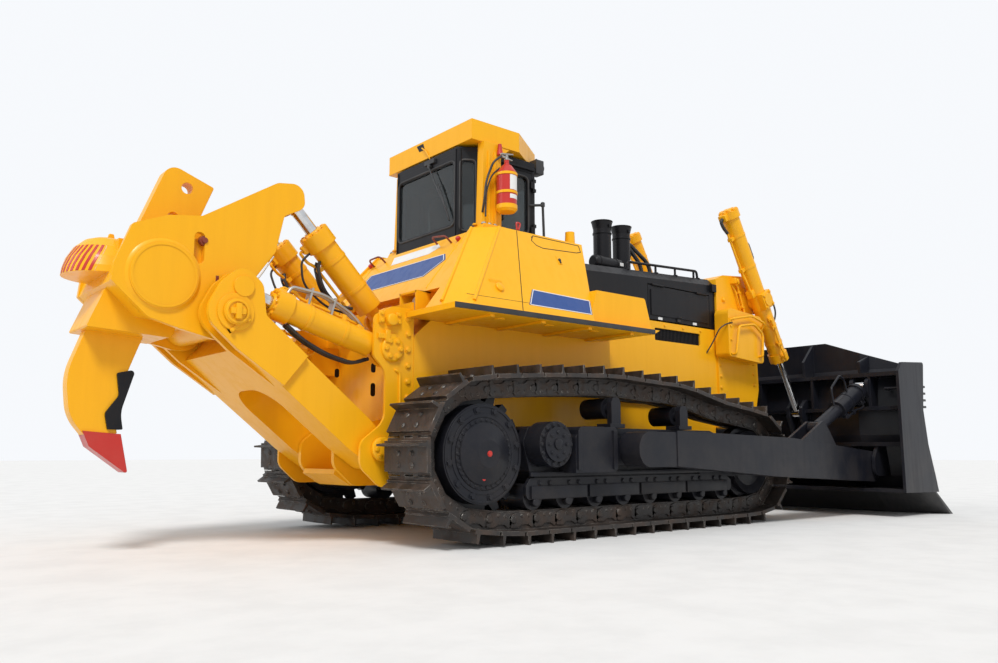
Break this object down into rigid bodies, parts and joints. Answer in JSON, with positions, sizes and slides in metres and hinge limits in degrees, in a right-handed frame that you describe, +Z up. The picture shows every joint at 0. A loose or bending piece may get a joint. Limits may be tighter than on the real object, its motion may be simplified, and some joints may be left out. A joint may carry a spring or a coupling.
{
  "type": "crawler bulldozer with single-shank ripper",
  "caption": "Large crawler bulldozer with a swept-wing blade on push arms, a cab under a roll-over roof and a single-shank ripper carried raised at the back.",
  "frame": {"origin": "on the ground, under the middle of the machine's overall box", "axes": "+X forward to the blade, +Y to the machine's left, +Z up"},
  "size_m": [11.565, 5.265, 4.646],
  "materials": {
    "yellow_paint": "semi-gloss",
    "black_paint": "semi-gloss",
    "dark_paint": "semi-gloss",
    "red_paint": "semi-gloss",
    "track_steel": "worn",
    "edge_steel": "satin",
    "rod_chrome": "polished",
    "cast_block": "rough",
    "cab_glass": "clear",
    "seat_fabric": "woven",
    "trim_plastic": "matte"
  },
  "bodies": {
    "chassis": {"track_right": "track_steel", "track_left": "track_steel", "sprockets": "dark_paint", "idlers": "dark_paint", "track_rollers": "dark_paint", "carrier_rollers": "dark_paint", "track_frames": "dark_paint", "trunnions": "dark_paint", "main_frame": "yellow_paint", "equalizer_bar": "dark_paint", "engine_panels": "yellow_paint", "engine_block": "cast_block", "hood": "black_paint", "exhaust_stacks": "black_paint", "hood_rails": "black_paint", "radiator_guard": "yellow_paint", "radiator_grille": "black_paint", "rear_tank": "yellow_paint", "side_tanks": "yellow_paint", "platform": "yellow_paint", "fenders": "yellow_paint", "cab_floor": "black_paint", "cab_roof": "black_paint", "cab_rear_wall": "black_paint", "cab_front_wall": "black_paint", "cab_side_right": "black_paint", "cab_side_left": "black_paint", "cab_glass": "cab_glass", "cab_seat": "seat_fabric", "cab_console": "trim_plastic", "rops_roof": "yellow_paint", "rops_posts": "yellow_paint", "extinguisher": "red_paint", "ripper_bracket": "yellow_paint"},
    "door_right": {"cab_door_right": "black_paint", "door_glass_right": "cab_glass"},
    "door_left": {"cab_door_left": "black_paint", "door_glass_left": "cab_glass"},
    "hatch_right": {"engine_door_right": "black_paint"},
    "hatch_left": {"engine_door_left": "black_paint"},
    "push_frame": {"push_arms": "dark_paint"},
    "dozer_blade": {"blade": "dark_paint", "cutting_edge": "edge_steel", "spill_guard": "dark_paint"},
    "braces": {"brace_barrels": "dark_paint"},
    "brace_shafts": {"brace_rods": "rod_chrome"},
    "lift_cylinders": {"lift_barrels": "yellow_paint"},
    "lift_shafts": {"lift_rods": "rod_chrome"},
    "ripper_frame": {"ripper_arm": "yellow_paint"},
    "beam_pins": {"ripper_pins": "yellow_paint"},
    "ripper_carriage": {"ripper_beam": "yellow_paint", "shank": "yellow_paint", "shank_guard": "black_paint", "shank_tip": "red_paint"},
    "ripper_lift_tubes": {"ripper_lift_barrels": "yellow_paint"},
    "ripper_lift_shafts": {"ripper_lift_rods": "rod_chrome"},
    "ripper_tilt_tubes": {"ripper_tilt_barrels": "yellow_paint"},
    "ripper_tilt_shafts": {"ripper_tilt_rods": "rod_chrome"}
  },
  "joints": [
    {"name": "blade_lift", "type": "hinge", "parent": "chassis", "child": "push_frame", "pos_m": [-0.2125, 0, 0.93], "axis": [0, -1, 0], "range_deg": [-5, 9]},
    {"name": "blade_pitch", "type": "hinge", "parent": "push_frame", "child": "dozer_blade", "pos_m": [4.5975, 0, 0.69], "axis": [0, -1, 0], "range_deg": [-3, 3]},
    {"name": "ripper_lift", "type": "hinge", "parent": "chassis", "child": "ripper_frame", "pos_m": [-3.0325, 0, 0.93], "axis": [0, 1, 0], "range_deg": [-42, 2]},
    {"name": "ripper_tilt", "type": "hinge", "parent": "beam_pins", "child": "ripper_carriage", "pos_m": [-4.5375, 0, 2.135], "axis": [0, -1, 0], "range_deg": [-10, 12]},
    {"name": "cab_door_right", "type": "hinge", "parent": "chassis", "child": "door_right", "pos_m": [-0.8785, -0.782, 3.8], "axis": [0, 0, 1], "range_deg": [0, 80]},
    {"name": "cab_door_left", "type": "hinge", "parent": "chassis", "child": "door_left", "pos_m": [-0.8785, 0.782, 3.8], "axis": [0, 0, -1], "range_deg": [0, 80]},
    {"name": "engine_door_right", "type": "hinge", "parent": "chassis", "child": "hatch_right", "pos_m": [1.9175, -0.76, 3.1575], "axis": [-1, 0, 0], "range_deg": [0, 95]},
    {"name": "engine_door_left", "type": "hinge", "parent": "chassis", "child": "hatch_left", "pos_m": [1.9175, 0.76, 3.1575], "axis": [1, 0, 0], "range_deg": [0, 95]},
    {"name": "lift_cylinder_swing", "type": "hinge", "parent": "chassis", "child": "lift_cylinders", "pos_m": [3.5975, 0, 3.17], "axis": [0, -1, 0], "range_deg": [-5.68, 10.06]},
    {"name": "lift_cylinder_stroke", "type": "slide", "parent": "lift_cylinders", "child": "lift_shafts", "axis": [0.489, 0, -0.8723], "range_m": [-0.6949, 0.387]},
    {"name": "brace_swing", "type": "hinge", "parent": "push_frame", "child": "braces", "pos_m": [3.2275, 0, 1.215], "axis": [0, -1, 0], "range_deg": [-1.16, 1.16]},
    {"name": "brace_stroke", "type": "slide", "parent": "braces", "child": "brace_shafts", "axis": [0.909, 0, 0.4167], "range_m": [-0.0569, 0.0569]},
    {"name": "ripper_level", "type": "hinge", "parent": "ripper_frame", "child": "beam_pins", "pos_m": [-4.5375, 0, 2.135], "axis": [0, -1, 0], "range_deg": [-38.53, 2.03]},
    {"name": "ripper_lift_swing", "type": "hinge", "parent": "chassis", "child": "ripper_lift_tubes", "pos_m": [-2.9225, 0, 1.925], "axis": [0, -1, 0], "range_deg": [-2.11, 40.27]},
    {"name": "ripper_lift_stroke", "type": "slide", "parent": "ripper_lift_tubes", "child": "ripper_lift_shafts", "axis": [-0.9603, 0, 0.2788], "range_m": [-0.0363, 0.7215]},
    {"name": "ripper_tilt_swing", "type": "hinge", "parent": "chassis", "child": "ripper_tilt_tubes", "pos_m": [-2.7825, 0, 2.27], "axis": [0, -1, 0], "range_deg": [-2.63, 51.33]},
    {"name": "ripper_tilt_stroke", "type": "slide", "parent": "ripper_tilt_tubes", "child": "ripper_tilt_shafts", "axis": [-0.696, 0, 0.718], "range_m": [-0.2365, 0.2834]}
  ],
  "couplings": [
    {"joint": "lift_cylinder_swing", "follows": "blade_lift", "ratio": 1.095},
    {"joint": "lift_cylinder_stroke", "follows": "blade_lift", "m_per_rad": -4.4113},
    {"joint": "brace_swing", "follows": "blade_pitch", "ratio": 0.31862},
    {"joint": "brace_stroke", "follows": "blade_pitch", "m_per_rad": -1.048},
    {"joint": "ripper_level", "follows": "ripper_lift", "ratio": 0.91252},
    {"joint": "ripper_lift_swing", "follows": "ripper_lift", "ratio": -0.95394},
    {"joint": "ripper_lift_stroke", "follows": "ripper_lift", "m_per_rad": -0.98155},
    {"joint": "ripper_tilt_swing", "follows": "ripper_lift", "ratio": -1.2173},
    {"joint": "ripper_tilt_stroke", "follows": "ripper_tilt", "m_per_rad": 1.3435}
  ]
}
